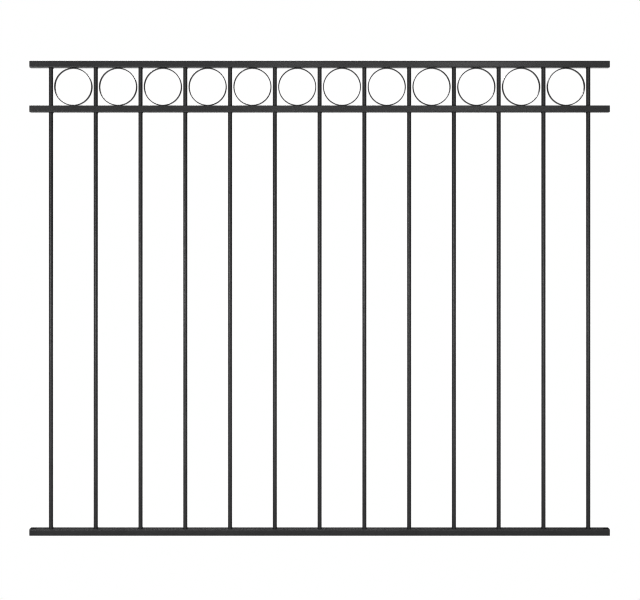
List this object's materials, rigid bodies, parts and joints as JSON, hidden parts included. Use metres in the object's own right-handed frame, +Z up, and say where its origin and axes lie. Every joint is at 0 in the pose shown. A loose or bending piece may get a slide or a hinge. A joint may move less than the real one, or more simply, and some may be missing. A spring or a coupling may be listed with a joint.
{
  "type": "steel fence panel",
  "caption": "Flat ornamental steel fence panel: square tube rails, round bar pickets and a frieze of rings under the top rail, held at its rail ends by post brackets.",
  "frame": {"origin": "middle of the bottom rail's underside", "axes": "+X along the rails, to the right seen from the front; +Y to the back; +Z up"},
  "size_m": [1.7416, 0.02, 1.4261],
  "materials": {
    "powder_coat": "satin charcoal-black powder coat"
  },
  "bodies": {
    "root": {"bottom_rail": "powder_coat", "middle_rail": "powder_coat", "top_rail": "powder_coat", "picket_01": "powder_coat", "picket_02": "powder_coat", "picket_03": "powder_coat", "picket_04": "powder_coat", "picket_05": "powder_coat", "picket_06": "powder_coat", "picket_07": "powder_coat", "picket_08": "powder_coat", "picket_09": "powder_coat", "picket_10": "powder_coat", "picket_11": "powder_coat", "picket_12": "powder_coat", "picket_13": "powder_coat", "ring_01": "powder_coat", "ring_02": "powder_coat", "ring_03": "powder_coat", "ring_04": "powder_coat", "ring_05": "powder_coat", "ring_06": "powder_coat", "ring_07": "powder_coat", "ring_08": "powder_coat", "ring_09": "powder_coat", "ring_10": "powder_coat", "ring_11": "powder_coat", "ring_12": "powder_coat"}
  },
  "joints": []
}
